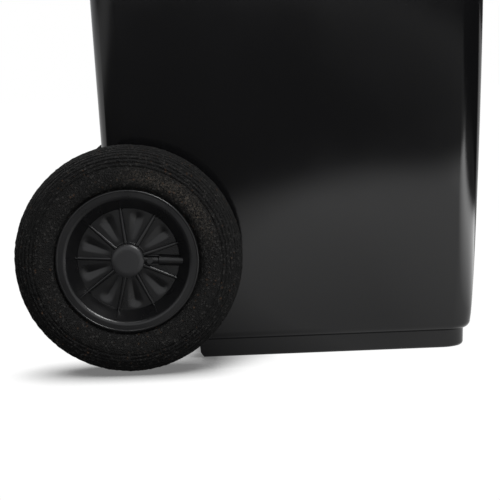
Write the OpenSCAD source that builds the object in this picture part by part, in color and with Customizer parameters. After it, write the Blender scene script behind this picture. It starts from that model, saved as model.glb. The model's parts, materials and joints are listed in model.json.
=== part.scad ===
// Two-wheeled refuse bin of about 120 litres with a hinged lid.
// Millimetres. z = 0 is the ground, the front faces -Y, and left is -X.
// The parts are drawn with the axle at y = 0, and seat() moves them so that y = 0 is mid-depth.

/* [Tub] */
// Width across the side walls at the floor
tub_floor_w = 352; // [330:1:364]
// Width across the side walls at the rim
tub_top_w = 430; // [400:1:480]
// From the axle forward to the front wall at the floor
tub_front_floor = 307; // [260:1:370]
// From the axle forward to the front wall at the rim
tub_front_top = 337; // [320:1:420]
// From the axle back to the rear wall at the floor
tub_rear_floor = 20; // [10:1:26]
// From the axle back to the rear wall at the rim
tub_rear_top = 40; // [34:1:90]
// How far the lower front wall bows out
tub_bow = 5.5; // [0:0.5:12]
// Radius of the two front corners
front_r = 26; // [20:1:40]
// Radius of the two rear corners
rear_r = 30; // [24:1:60]
// Wall of the tub
wall = 4; // [3:0.5:5]
// Height of the plinth under the tub
plinth_h = 14; // [10:1:20]
// How far the plinth is set in from the tub
plinth_in = 5.5; // [3:0.5:8]

/* [Rim] */
// Height of the rim above the ground
rim_h = 860; // [700:5:1040]
// How far the rim stands out at the sides and the rear
rim_out = 18; // [14:1:24]
// How far the rim stands out at the front, over the comb pockets
lip_out = 30; // [26:1:36]
// Depth of the skirt at the sides
side_skirt_h = 24; // [14:1:34]
// Depth of the skirt at the front
lip_skirt_h = 38; // [30:1:46]
// Thickness of the rim's skirt
skirt_t = 3.5; // [3:0.5:4]
// Number of comb pockets on each side of the transponder nest
comb_pockets = 4; // [2:1:5]
// Thickness of the ribs under the rim
rib_t = 3; // [2:0.5:4]

/* [Handle and hinge] */
// From the axle back to the handle's axis, which is the lid's hinge axis
hinge_back = 128; // [118:1:150]
// Height of the hinge axis above the rim
hinge_up = 12; // [10:1:16]
// Radius of the handle bar
bar_r = 13.5; // [12:0.5:15]
// Thickness of each handle arm
arm_t = 12; // [8:1:16]
// From the middle to the outer face of the outer handle arms
arm_reach = 203; // [180:1:208]
// From the middle to the outer face of the inner handle arms
inner_arm_reach = 72; // [50:1:90]
// Radius of the hinge pin
pin_r = 6; // [5:0.5:7]
// Depth of the hinge pin in the handle bar
pin_depth = 44; // [30:1:60]

/* [Lid] */
// Gap between the lid's skirt and the rim
lid_gap = 3.5; // [2:0.5:5]
// Wall of the lid
lid_wall = 3.5; // [3:0.5:4.5]
// Height of the dome above the rim
lid_rise = 68; // [40:1:90]
// How far the skirt hangs below the rim's top
lid_skirt_h = 12; // [6:1:16]
// Depth of the grip lip at the lid's front
grip_out = 12; // [8:1:18]
// Width of the grip lip
grip_w = 210; // [120:5:260]

/* [Axle] */
// Radius of the axle
axle_r = 10; // [9:0.5:12]
// Running gap between the axle and a wheel's bore
axle_gap = 0.3; // [0.2:0.05:0.5]
// Depth of the groove that the lock pin drops into
groove_depth = 1.7; // [1:0.1:2.5]

/* [Wheel] */
// Outer diameter of the tyre
wheel_d = 200; // [180:1:220]
// Width of the tyre
tyre_w = 50; // [44:1:56]
// From the middle of the bin to the middle plane of a wheel
wheel_x = 215; // [205:1:225]
// Outer radius of the wheel centre's lips
lip_r = 62; // [58:0.1:70]
// Radius where the dished wall meets the outer lip
dish_r = 54.4; // [48:0.1:56]
// Radius of the flat web inside the dish
web_r = 45.2; // [38:0.1:47]
// Depth of the web below the lip
dish_depth = 16.5; // [12:0.5:20]
// Thickness of the web
web_t = 4; // [3:0.5:5]
// Number of spokes
spokes = 9; // [6:1:12]
// Radius of the hub
hub_r = 14.2; // [13.5:0.1:18]
// Radius of the tyre's seat on the wheel centre
seat_r = 59; // [55:0.5:64]
// Number of grooves round the tread
tread_grooves = 11; // [5:2:13]
// Turn of each wheel about the axle, left then right
wheel_turn = [-3.5, 127]; // [-180:0.5:180]

/* [Wheel lock] */
// Radius of the sprung lock pin
lock_r = 2.9; // [2:0.1:3.2]
// Travel of the lock pin
lock_travel = 4; // [3:0.5:5]
// Length of the lock spring
spring_l = 12; // [9:0.5:14]
// Coils of the lock spring
spring_coils = 6; // [4:1:8]
// Wire diameter of the lock spring
spring_wire = 0.7; // [0.5:0.1:0.9]

/* [Hidden] */

LEFT = -1;
RIGHT = 1;
CORNER_STEPS = 6;         // straight steps in each rounded corner of the mouldings
SEAT_GAP = 0.3;           // clearance of a piece that rests in its seat
FACES = 64;
CUT = 1;                  // how far a cut runs past the face that it opens

plastic = "#1b1c1e";
rubber = "#141414";
steel = "#b9bcc0";

// Heights up the tub
flare_top = plinth_h + 10;
bow_top = rim_h * 0.65;
wall_heights = [36, 55, 85, 125, 175, 240, 310, 390, 470, bow_top];

// Axle recess under the rear of the tub
axle_z = wheel_d / 2;
recess_front = -58;       // front face of the recess at the ground
recess_lean = 8;          // how far that face leans back up to its top
recess_z = axle_z + axle_r + 18;
recess_back_z = recess_z + 26;
bracket_t = 7;
bracket_r = axle_r + 9;
bracket_gap = 0.2;

// Handle and hinge
hinge_z = rim_h + hinge_up;
knuckle_w = 20;
knuckle_r = bar_r;
knuckle_gap = 2;
pin_head_r = 10;
pin_head_t = 4;
knuckle_x0 = arm_reach + knuckle_gap;
knuckle_x1 = knuckle_x0 + knuckle_w;

// Rim outline
rim_half_w = tub_top_w / 2 + rim_out;
rim_front = -(tub_front_top + lip_out);
rim_rear = tub_rear_top + rim_out;
rim_front_r = front_r + 14;
rim_rear_r = rear_r + 4;

// Lid outline
lid_half_w = rim_half_w + lid_gap + lid_wall;
lid_front = rim_front - lid_gap - lid_wall;
lid_rear = rim_rear + 8;
lid_front_r = rim_front_r + lid_gap + lid_wall;
lid_rear_r = rim_rear_r + 6;
lid_brim_z = rim_h + SEAT_GAP + lid_wall + 3;

// Transponder nest under the front lip
nest_y = -(tub_front_top + (lip_out - skirt_t) / 2);
nest_r = (lip_out - skirt_t) / 2 + 0.5;
plug_r = nest_r - 2.4;
nest_h = 14;

// Comb pockets
comb_start = nest_r + 3;
comb_end = tub_top_w / 2 - front_r + 2;
comb_pitch = (comb_end - comb_start) / comb_pockets;
side_rib_ys = [-255, -165, -75, 15];

// Wheel, with its axle along local z, its outside at +z and the lock along local x
lip_z = tyre_w / 2 - 2.5;
web_z = lip_z - dish_depth;
lip_t = 3;
barrel_t = 3.5;
hub_in_z = -(wheel_x - tub_floor_w / 2 - 10);
hub_out_z = lip_z - 5.5;
bore_r = axle_r + axle_gap;
shoulder_r = lip_r + 14;    // where the tyre is widest
lock_z = web_z + 1;
lock_bore_r = lock_r + 0.2;
lock_house_r = lock_r + 2.2;
groove_r = axle_r - groove_depth;
axle_end = wheel_x + hub_out_z - 3;
lock_tip = groove_r + SEAT_GAP;
lock_len = 20.4;
lock_tail = lock_tip + lock_len;
stub_r = 2.7;
stub_at = hub_r + 4.8;
spring_start = lock_tail + SEAT_GAP;
spring_end = spring_start + spring_l;
plug_start = spring_end + SEAT_GAP;
plug_end = web_r + 3.4;
cap_r = hub_r + 0.3;
cap_t = 4;

// Whole depth, which puts y = 0 at the middle
front_end = lid_front - grip_out;
rear_end = hinge_back + knuckle_r;
mid_y = (front_end + rear_end) / 2;

module seat() {
    translate([0, -mid_y, 0]) children();
}

// ---- Outlines of the mouldings ----

function mix(a, b, t) = a + (b - a) * t;
function up_tub(z) = (z - flare_top) / (rim_h - flare_top);
function tub_half_w(z) = mix(tub_floor_w, tub_top_w, up_tub(z)) / 2;
function bow(z) = z > flare_top && z < bow_top
    ? tub_bow * pow(sin(180 * (z - flare_top) / (bow_top - flare_top)), 0.6) : 0;
function tub_front(z) = -mix(tub_front_floor, tub_front_top, up_tub(z)) - bow(z);
function tub_rear(z) = mix(tub_rear_floor, tub_rear_top, up_tub(z));

function corner(cx, cy, r, start) =
    [for (i = [0 : CORNER_STEPS])
        let (a = start + 90 * i / CORNER_STEPS) [cx + r * cos(a), cy + r * sin(a)]];

// A rectangle with its own radius at the front and at the rear, anticlockwise from above
function outline(half_w, front, rear, rf, rr) = concat(
    corner(half_w - rr, rear - rr, rr, 0),
    corner(-half_w + rr, rear - rr, rr, 90),
    corner(-half_w + rf, front + rf, rf, 180),
    corner(half_w - rf, front + rf, rf, 270)
);

function lift(points, z) = [for (p = points) [p.x, p.y, z]];

function tub_ring(z, inset) = lift(
    outline(tub_half_w(z) - inset, tub_front(z) + inset, tub_rear(z) - inset,
        max(front_r - inset, 4), max(rear_r - inset, 4)), z);

// One closed solid through rings that all have the same number of points
module loft(rings) {
    n = len(rings[0]);
    m = len(rings);
    points = [for (r = rings) each r];
    sides = [for (j = [0 : m - 2], i = [0 : n - 1])
        let (a = j * n + i, b = j * n + (i + 1) % n)
        each [[a, a + n, b + n], [a, b + n, b]]];
    polyhedron(points, concat(
        [[for (i = [0 : n - 1]) i]],
        [[for (i = [n - 1 : -1 : 0]) (m - 1) * n + i]],
        sides));
}

// An outline in the y-z plane, drawn from x0 to x1
module plate_yz(x0, x1, points) {
    translate([x0, 0, 0])
        rotate([90, 0, 90])
            linear_extrude(x1 - x0) polygon(points);
}

module bar_x(x0, x1, r) {
    translate([x0, 0, 0])
        rotate([0, 90, 0])
            cylinder(r = r, h = x1 - x0, $fn = FACES);
}

// ---- Body ----

module tub_outside() {
    plinth = [[0, plinth_in + 2.5], [2.5, plinth_in], [plinth_h, plinth_in],
        [plinth_h + 2, plinth_in - 1.5], [plinth_h + 5, 1.2]];
    loft(concat(
        [for (s = plinth) tub_ring(s[0], s[1])],
        [for (z = concat([flare_top], wall_heights, [rim_h])) tub_ring(z, 0)]));
}

module tub_inside() {
    floor_in = plinth_in + wall;
    loft(concat(
        [tub_ring(wall, floor_in + 4), tub_ring(wall + 4, floor_in),
            tub_ring(plinth_h, floor_in)],
        [for (z = concat([flare_top], wall_heights, [rim_h + CUT])) tub_ring(z, wall)]));
}

// The space under the rear of the tub for the axle, grown by the wall for the inside
module axle_recess(grow) {
    far = tub_rear_top + 40;
    plate_yz(-tub_top_w, tub_top_w, [
        [recess_front - grow - 4, -CUT],
        [recess_front - grow, 5],
        [recess_front - grow + recess_lean, recess_z - 12 + grow],
        [recess_front - grow + recess_lean + 10, recess_z + grow],
        [far, recess_back_z + grow + 6],
        [far, -CUT]]);
}

module axle_bracket(x0) {
    foot_y = recess_front + recess_lean;
    back = tub_rear(recess_back_z) - wall;
    difference() {
        union() {
            plate_yz(x0, x0 + bracket_t, [
                [foot_y - 4, axle_z - 52],
                [bracket_r * sin(38), axle_z - bracket_r * cos(38)],
                [bracket_r * cos(12), axle_z + bracket_r * sin(12)],
                [back, recess_back_z],
                [foot_y + 8, recess_z + 2],
                [foot_y, recess_z - 12]]);
            translate([0, 0, axle_z]) bar_x(x0, x0 + bracket_t, bracket_r);
        }
        translate([0, 0, axle_z])
            bar_x(x0 - CUT, x0 + bracket_t + CUT, axle_r + bracket_gap);
    }
}

module tub_shell() {
    difference() {
        tub_outside();
        axle_recess(0);
        difference() {
            tub_inside();
            axle_recess(wall);
        }
    }
}

module rim_outline(inset) {
    polygon(outline(rim_half_w - inset, rim_front + inset, rim_rear - inset,
        rim_front_r - inset, rim_rear_r - inset));
}

module rim_skirt(depth, y0, y1) {
    intersection() {
        translate([0, 0, rim_h - depth])
            linear_extrude(depth)
                difference() {
                    rim_outline(0);
                    rim_outline(skirt_t);
                }
        translate([-rim_half_w - CUT, y0, 0])
            cube([2 * rim_half_w + 2 * CUT, y1 - y0, rim_h + CUT]);
    }
}

module rim_flange() {
    translate([0, 0, rim_h - wall])
        linear_extrude(wall)
            difference() {
                rim_outline(0);
                polygon(outline(tub_top_w / 2 - wall, -tub_front_top + wall,
                    tub_rear_top - wall, front_r - wall, rear_r - wall));
            }
}

module comb_rib(x) {
    translate([x - rib_t / 2, rim_front + skirt_t / 2, rim_h - lip_skirt_h + 3])
        cube([rib_t, lip_out - skirt_t / 2 + wall / 2, lip_skirt_h - 3 - wall / 2]);
}

module side_rib(side, y) {
    root = tub_half_w(rim_h - side_skirt_h) - wall / 2;
    width = rim_half_w - skirt_t / 2 - root;
    translate([side * (root + width / 2), y, rim_h - side_skirt_h / 2 - 1])
        cube([width, rib_t, side_skirt_h - 2], center = true);
}

module transponder_nest() {
    translate([0, nest_y, rim_h - wall - nest_h])
        difference() {
            cylinder(r = nest_r, h = nest_h + wall / 2, $fn = FACES);
            translate([0, 0, -CUT])
                cylinder(r = plug_r + SEAT_GAP, h = nest_h - 2 + CUT, $fn = FACES);
        }
}

module rim() {
    rim_flange();
    rim_skirt(lip_skirt_h, rim_front - CUT, -tub_front_top + front_r);
    rim_skirt(side_skirt_h, -tub_front_top, tub_rear_top - rear_r);
    for (side = [LEFT, RIGHT]) {
        for (i = [0 : comb_pockets]) comb_rib(side * (comb_start + i * comb_pitch));
        for (y = side_rib_ys) side_rib(side, y);
    }
    transponder_nest();
}

// A handle arm, kept inside the wedge that the lid never sweeps
module handle_arm(x0) {
    low = rim_h - 38;
    plate_yz(x0, x0 + arm_t, [
        [tub_rear(low) - wall / 2, low],
        [hinge_back - 25, rim_h - 14],
        [hinge_back, hinge_z - bar_r],
        [hinge_back, hinge_z],
        [hinge_back - 22, hinge_z - 8.5],
        [rim_rear, rim_h - 2],
        [tub_rear_top - wall / 2, rim_h - 2]]);
}

module handle() {
    for (side = [LEFT, RIGHT]) {
        handle_arm(side * (arm_reach - arm_t / 2) - arm_t / 2);
        handle_arm(side * (inner_arm_reach - arm_t / 2) - arm_t / 2);
    }
    translate([0, hinge_back, hinge_z]) bar_x(-arm_reach, arm_reach, bar_r);
}

module body() {
    color(plastic) seat()
        difference() {
            union() {
                tub_shell();
                rim();
                handle();
                outer = tub_half_w(axle_z) - bracket_t;
                for (x = [-outer - bracket_t, outer, -70, 70 - bracket_t]) axle_bracket(x);
            }
            for (side = [LEFT, RIGHT])
                translate([side * (arm_reach - pin_depth / 2 + CUT / 2), hinge_back, hinge_z])
                    rotate([0, 90, 0])
                        cylinder(r = pin_r + 0.1, h = pin_depth + CUT, center = true, $fn = FACES);
        }
}

// ---- Lid ----

function lid_ring(z, side_in, front_in, rear_in) = lift(
    outline(lid_half_w - side_in, lid_front + front_in, lid_rear - rear_in,
        max(lid_front_r - side_in * 0.4, 8), max(lid_rear_r - side_in * 0.4, 8)), z);

// Height above the brim as a share of the rise, with the insets at the side, front and rear
dome = [[0.00, 16, 16, 13], [0.20, 20, 22, 20], [0.45, 28, 34, 38], [0.66, 44, 58, 70],
    [0.83, 72, 96, 112], [0.94, 108, 142, 158], [1.00, 150, 196, 210]];
dome_rise = lid_rise - (lid_brim_z - rim_h);

module lid_outside() {
    loft(concat(
        [lid_ring(rim_h - lid_skirt_h, 0, 0, 0), lid_ring(lid_brim_z - 3, 0, 0, 0),
            lid_ring(lid_brim_z - 0.8, 1.2, 1.2, 1.2), lid_ring(lid_brim_z, 3.6, 3.6, 3.6)],
        [for (d = dome) lid_ring(lid_brim_z + 1 + d[0] * (dome_rise - 1), d[1], d[2], d[3])]));
}

module lid_inside() {
    t = lid_wall;
    loft([for (d = dome)
        lid_ring(lid_brim_z + 1 + d[0] * (dome_rise - 1) - (d[0] == 0 ? 12 : t),
            d[1] + t, d[2] + t, d[3] + t)]);
}

// The pocket that drops over the rim, open all across the rear
module lid_rim_pocket() {
    translate([0, 0, rim_h - lid_skirt_h - CUT])
        linear_extrude(lid_skirt_h + CUT + SEAT_GAP)
            polygon(outline(lid_half_w - lid_wall, lid_front + lid_wall, lid_rear + 20,
                lid_front_r - lid_wall, 4));
}

module lid_rear_cut() {
    translate([-lid_half_w - CUT, rim_rear - rim_rear_r + 10, rim_h - lid_skirt_h - CUT])
        cube([2 * lid_half_w + 2 * CUT, rim_rear_r + 40, lid_skirt_h + CUT + SEAT_GAP]);
}

module lid_arm(side) {
    x0 = side > 0 ? knuckle_x0 : -knuckle_x1;
    plate_yz(x0, x0 + knuckle_w, [
        [lid_rear - 26, rim_h + SEAT_GAP],
        [rim_rear + 4, rim_h + SEAT_GAP],
        [hinge_back, hinge_z - knuckle_r],
        [hinge_back, hinge_z + knuckle_r],
        [hinge_back - 12, hinge_z + knuckle_r - 4],
        [lid_rear - 10, lid_brim_z + 4],
        [lid_rear - 26, lid_brim_z + 4]]);
    translate([0, hinge_back, hinge_z]) bar_x(x0, x0 + knuckle_w, knuckle_r);
}

module grip_lip() {
    grip_t = 3.5;
    translate([-grip_w / 2, lid_front - grip_out, lid_brim_z - 6 - grip_t])
        cube([grip_w, grip_out + lid_wall / 2, grip_t]);
    translate([-grip_w / 2, lid_front - grip_out, lid_brim_z - 14 - grip_t])
        cube([grip_w, grip_t, 8 + grip_t]);
}

module lid() {
    color(plastic) seat()
        difference() {
            union() {
                difference() {
                    lid_outside();
                    lid_inside();
                    lid_rim_pocket();
                    lid_rear_cut();
                }
                for (side = [LEFT, RIGHT]) lid_arm(side);
                grip_lip();
            }
            for (side = [LEFT, RIGHT])
                translate([side * (knuckle_x0 + knuckle_w / 2), hinge_back, hinge_z])
                    rotate([0, 90, 0])
                        cylinder(r = pin_r + 0.3, h = knuckle_w + 2 * CUT, center = true, $fn = FACES);
        }
}

// ---- Hinge pins, axle and small parts of the body ----

module hinge_pin(side) {
    tip = arm_reach - pin_depth + 2;
    head = knuckle_x1 + SEAT_GAP;
    color(plastic) seat()
        translate([0, hinge_back, hinge_z])
            rotate([0, side * 90, 0]) {
                translate([0, 0, tip]) cylinder(r1 = pin_r - 1.2, r2 = pin_r, h = 3, $fn = FACES);
                translate([0, 0, tip + 3]) cylinder(r = pin_r, h = head - tip - 3, $fn = FACES);
                translate([0, 0, head])
                    cylinder(r1 = pin_head_r, r2 = pin_head_r - 1.5, h = pin_head_t, $fn = FACES);
            }
}

module axle() {
    groove_w = 2 * lock_r + 2 * SEAT_GAP;
    color(steel) seat()
        translate([0, 0, axle_z])
            difference() {
                union() {
                    bar_x(-axle_end + 1.5, axle_end - 1.5, axle_r);
                    for (side = [LEFT, RIGHT])
                        translate([side * (axle_end - 1.5), 0, 0])
                            rotate([0, side * 90, 0])
                                cylinder(r1 = axle_r, r2 = axle_r - 1.5, h = 1.5, $fn = FACES);
                }
                for (side = [LEFT, RIGHT])
                    translate([side * (wheel_x + lock_z), 0, 0])
                        rotate([0, 90, 0])
                            difference() {
                                cylinder(r = axle_r + CUT, h = groove_w, center = true, $fn = FACES);
                                cylinder(r = groove_r, h = groove_w + CUT, center = true, $fn = FACES);
                            }
            }
}

module axle_spacer(side) {
    inner = tub_half_w(axle_z) + SEAT_GAP;
    outer = wheel_x + hub_in_z - SEAT_GAP;
    color(plastic) seat()
        translate([side * (inner + outer) / 2, 0, axle_z])
            rotate([0, 90, 0])
                difference() {
                    cylinder(r = hub_r, h = outer - inner, center = true, $fn = FACES);
                    cylinder(r = axle_r + bracket_gap, h = outer - inner + CUT, center = true, $fn = FACES);
                }
}

module transponder_plug() {
    color(plastic) seat()
        translate([0, nest_y, rim_h - wall - nest_h - 1.5])
            union() {
                cylinder(r = plug_r + 1.6, h = 1.5 - SEAT_GAP / 2, $fn = FACES);
                cylinder(r = plug_r, h = nest_h - 1, $fn = FACES);
            }
}

// ---- Wheels ----

module at_wheel(side) {
    turn = side < 0 ? wheel_turn[0] : wheel_turn[1];
    seat()
        translate([side * wheel_x, 0, axle_z])
            rotate([90, 0, side * 90])
                rotate([0, 0, turn])
                    children();
}

module wheel_centre_round() {
    rotate_extrude($fn = FACES)
        polygon([
            [bore_r, hub_in_z],
            [hub_r, hub_in_z],
            [hub_r, web_z - web_t],
            [web_r + 1.9, web_z - web_t],
            [dish_r - 0.6, lip_z - 8],
            [seat_r - barrel_t, lip_z - 8],
            [seat_r - barrel_t, -lip_z],
            [lip_r, -lip_z],
            [lip_r, -lip_z + lip_t],
            [seat_r, -lip_z + lip_t],
            [seat_r, lip_z - lip_t],
            [lip_r, lip_z - lip_t],
            [lip_r, lip_z - 1],
            [lip_r - 1, lip_z],
            [dish_r, lip_z],
            [web_r, web_z],
            [hub_r, web_z],
            [hub_r, hub_out_z],
            [bore_r, hub_out_z]]);
}

module spoke() {
    spoke_t = 2.4;
    rotate([90, 0, 0])
        translate([0, 0, -spoke_t / 2])
            linear_extrude(spoke_t)
                polygon([
                    [hub_r - 0.6, web_z - 1],
                    [hub_r - 0.6, web_z + 5],
                    [web_r - 2, web_z + 3],
                    [dish_r - 1.2, lip_z - 0.5],
                    [dish_r + 0.4, lip_z - 2],
                    [web_r + 1, web_z - 1]]);
}

// The radial housing of the lock pin, with a slot for the pin's thumb stub
module lock_housing() {
    rotate([0, 90, 0])
        translate([-lock_z, 0, hub_r - 1])
            cylinder(r = lock_house_r, h = web_r - hub_r + 2, $fn = FACES);
    translate([stub_at + stub_r + lock_travel + 1, -lock_house_r, web_z - 1])
        cube([web_r - stub_at - stub_r - lock_travel, 2 * lock_house_r, lock_house_r - 0.5]);
}

module lock_passage() {
    rotate([0, 90, 0])
        translate([-lock_z, 0, 0])
            cylinder(r = lock_bore_r, h = plug_end + 4, $fn = FACES);
    translate([hub_r + 1.4, -stub_r - 0.4, lock_z])
        cube([stub_at - hub_r - 1.4 + stub_r + lock_travel + 0.6, 2 * stub_r + 0.8, 2 * lock_house_r]);
}

module rim_part(side) {
    color(plastic) at_wheel(side)
        difference() {
            union() {
                wheel_centre_round();
                for (i = [0 : spokes - 1]) rotate([0, 0, (i + 0.5) * 360 / spokes]) spoke();
                lock_housing();
            }
            lock_passage();
            translate([0, 0, hub_in_z - CUT])
                cylinder(r = bore_r, h = hub_out_z - hub_in_z + 2 * CUT, $fn = FACES);
        }
}

// Half of the tread's curve runs from t = 0 at the crown to t = 90 at the widest part of the side
function tyre_side(t) = tyre_w / 2 * pow(abs(sin(t)), 0.85) * sign(sin(t));
function tyre_rise(t) = mix(shoulder_r, wheel_d / 2, pow(max(cos(t), 0), 0.7));

module tyre_section() {
    r_in = seat_r + SEAT_GAP;
    z_in = lip_z - lip_t - SEAT_GAP;
    beads = lip_r + 1;
    difference() {
        polygon(concat(
            [[r_in, -z_in], [beads, -z_in], [beads + 4, -tyre_w / 2 + 2], [beads + 9, -tyre_w / 2 + 0.5]],
            [for (t = [-90 : 7.5 : 90]) [tyre_rise(t), tyre_side(t)]],
            [[beads + 9, tyre_w / 2 - 0.5], [beads + 4, tyre_w / 2 - 2], [beads, z_in], [r_in, z_in]]));
        for (i = [0 : tread_grooves - 1]) {
            t = -66 + 132 * i / (tread_grooves - 1);
            translate([tyre_rise(t), tyre_side(t)])
                rotate([0, 0, t * 0.8])
                    square([2.6, 1.4], center = true);
        }
    }
}

module tyre(side) {
    color(rubber) at_wheel(side)
        rotate_extrude($fn = FACES) tyre_section();
}

module hub_cap(side) {
    color(plastic) at_wheel(side)
        rotate_extrude($fn = FACES)
            polygon([
                [0, hub_out_z - 2],
                [bore_r - SEAT_GAP, hub_out_z - 2],
                [bore_r - SEAT_GAP, hub_out_z + SEAT_GAP],
                [cap_r, hub_out_z + SEAT_GAP],
                [cap_r, hub_out_z + cap_t - 1.2],
                [cap_r - 1.2, hub_out_z + cap_t],
                [0, hub_out_z + cap_t]]);
}

module lock_pin(side) {
    color(steel) at_wheel(side)
        union() {
            rotate([0, 90, 0])
                translate([-lock_z, 0, lock_tip])
                    cylinder(r = lock_r, h = lock_len, $fn = FACES);
            translate([stub_at, 0, lock_z])
                cylinder(r = stub_r, h = lock_house_r + 1.4, $fn = FACES);
        }
}

// A coil of wire along local x, swept as one closed tube
module lock_spring(side) {
    around = 6;
    per_coil = 14;
    coil_r = lock_r - 0.1 - spring_wire / 2;
    run = spring_l - spring_wire;
    steps = spring_coils * per_coil;
    rings = [for (k = [0 : steps])
        let (a = 360 * k / per_coil, x = spring_start + spring_wire / 2 + run * k / steps)
        [for (j = [0 : around - 1])
            let (b = 360 * j / around, r = coil_r + spring_wire / 2 * cos(b))
            [x + spring_wire / 2 * sin(b), r * cos(a), lock_z + r * sin(a)]]];
    color(steel) at_wheel(side) loft(rings);
}

module lock_plug(side) {
    color(plastic) at_wheel(side)
        rotate([0, 90, 0])
            translate([-lock_z, 0, plug_start])
                cylinder(r = lock_bore_r - 0.05, h = plug_end - plug_start, $fn = FACES);
}

body();
lid();
axle();
hinge_pin(LEFT);  // hinge_pin_left
hinge_pin(RIGHT);  // hinge_pin_right
axle_spacer(LEFT);  // axle_spacer_left
axle_spacer(RIGHT);  // axle_spacer_right
transponder_plug();
rim_part(LEFT);  // rim_left
rim_part(RIGHT);  // rim_right
tyre(LEFT);  // tyre_left
tyre(RIGHT);  // tyre_right
hub_cap(LEFT);  // hub_cap_left
hub_cap(RIGHT);  // hub_cap_right
lock_pin(LEFT);  // lock_pin_left
lock_pin(RIGHT);  // lock_pin_right
lock_spring(LEFT);  // lock_spring_left
lock_spring(RIGHT);  // lock_spring_right
lock_plug(LEFT);  // lock_plug_left
lock_plug(RIGHT);  // lock_plug_right
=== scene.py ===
"""A two-wheeled refuse bin in black moulded plastic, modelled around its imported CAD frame.

Sizes are in millimetres unless a name ends in _M, which is in metres. The body is drawn from the axle's
middle on the ground, and each wheel about its own middle. put() and about_wheel() turn both into metres.
"""

import json
import math

import bmesh
import bpy
from mathutils import Matrix, Vector


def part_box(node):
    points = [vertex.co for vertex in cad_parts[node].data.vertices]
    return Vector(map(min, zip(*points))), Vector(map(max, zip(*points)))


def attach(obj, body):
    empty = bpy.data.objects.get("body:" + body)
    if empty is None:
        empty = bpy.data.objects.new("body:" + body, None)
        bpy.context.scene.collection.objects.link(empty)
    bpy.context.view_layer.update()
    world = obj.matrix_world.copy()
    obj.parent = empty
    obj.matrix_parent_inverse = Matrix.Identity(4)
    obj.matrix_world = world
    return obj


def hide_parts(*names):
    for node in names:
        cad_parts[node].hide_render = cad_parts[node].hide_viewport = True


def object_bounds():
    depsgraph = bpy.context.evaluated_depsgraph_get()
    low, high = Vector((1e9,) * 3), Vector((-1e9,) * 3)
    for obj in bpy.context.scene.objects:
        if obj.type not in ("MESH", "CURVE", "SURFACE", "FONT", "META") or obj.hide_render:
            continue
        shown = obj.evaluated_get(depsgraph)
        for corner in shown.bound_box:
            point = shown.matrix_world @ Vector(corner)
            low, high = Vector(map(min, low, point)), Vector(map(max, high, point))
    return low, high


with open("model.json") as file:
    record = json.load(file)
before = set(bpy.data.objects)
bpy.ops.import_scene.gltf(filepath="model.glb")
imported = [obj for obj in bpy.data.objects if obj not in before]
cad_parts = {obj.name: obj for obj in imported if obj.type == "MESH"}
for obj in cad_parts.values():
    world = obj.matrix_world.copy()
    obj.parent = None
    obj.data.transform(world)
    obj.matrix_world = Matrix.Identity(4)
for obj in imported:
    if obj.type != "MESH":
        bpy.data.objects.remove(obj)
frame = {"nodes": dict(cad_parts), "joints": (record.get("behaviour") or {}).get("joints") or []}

cad_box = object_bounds()

MM = 0.001
JOINTS = {joint["name"]: joint for joint in frame["joints"]}
HINGE_M = Vector(JOINTS["lid_hinge"]["pos_m"])
AXLE_M = Vector(JOINTS["wheel_left_spin"]["pos_m"])
AXLE_Z = AXLE_M.z / MM
HINGE_BACK = (HINGE_M.y - AXLE_M.y) / MM
HINGE_Z = HINGE_M.z / MM
LEFT, RIGHT = -1, 1
SAME_M = 1e-5  # two places nearer than this are the same place
MERGE_M = 1e-6


# ---------------- hand tools

def put(x, y, z):
    """A point in millimetres from the axle's middle on the ground, in the frame's metres."""
    return Vector((x * MM, y * MM + AXLE_M.y, z * MM))


def about_wheel(x, y, z):
    """A point in millimetres from a wheel's own middle, with z along its axle."""
    return Vector((x, y, z)) * MM


def clear_selection():
    """Leaves edit mode and deselects everything."""
    if bpy.context.mode != "OBJECT":
        switch("OBJECT")
    bpy.ops.object.select_all(action="DESELECT")


def switch(mode):
    """Goes into EDIT mode, or back to OBJECT mode."""
    bpy.ops.object.mode_set(mode=mode)


def take(piece):
    """Makes the piece the only one selected, and active."""
    clear_selection()
    piece.select_set(True)
    bpy.context.view_layer.objects.active = piece


def pick(piece, kind, test):
    """In edit mode, selects the corners, edges or faces whose middle passes the test."""
    bpy.ops.mesh.select_mode(type=kind)
    bpy.ops.mesh.select_all(action="DESELECT")
    shape = bmesh.from_edit_mesh(piece.data)
    if kind == "VERT":
        for corner in shape.verts:
            corner.select_set(bool(test(corner.co)))
    elif kind == "EDGE":
        for edge in shape.edges:
            edge.select_set(bool(test((edge.verts[0].co + edge.verts[1].co) / 2)))
    else:
        for face in shape.faces:
            face.select_set(bool(test(face.calc_center_median())))
    bmesh.update_edit_mesh(piece.data)


def extrude(by):
    """Draws what is selected out by a step in metres."""
    bpy.ops.mesh.extrude_region_move(TRANSFORM_OT_translate={"value": by})


def apply_place(piece):
    """Moves the object's place, turn and scale into its mesh."""
    take(piece)
    bpy.ops.object.transform_apply(location=True, rotation=True, scale=True)


def modify(piece, kind, **settings):
    """Adds a modifier with its settings and applies it."""
    take(piece)
    modifier = piece.modifiers.new(kind.lower(), kind)
    for name, value in settings.items():
        setattr(modifier, name, value)
    bpy.ops.object.modifier_apply(modifier=modifier.name)


def cut_with(piece, tool, operation="DIFFERENCE"):
    """Cuts, joins or trims the piece with a tool, and throws the tool away."""
    modify(piece, "BOOLEAN", object=tool, operation=operation, solver="EXACT")
    bpy.data.objects.remove(tool)


def round_edges(piece, width, segments=3, angle=40):
    """Rounds the edges that are sharper than an angle in degrees."""
    modify(piece, "BEVEL", width=width * MM, segments=segments, limit_method="ANGLE",
           angle_limit=math.radians(angle), use_clamp_overlap=True)


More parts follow.
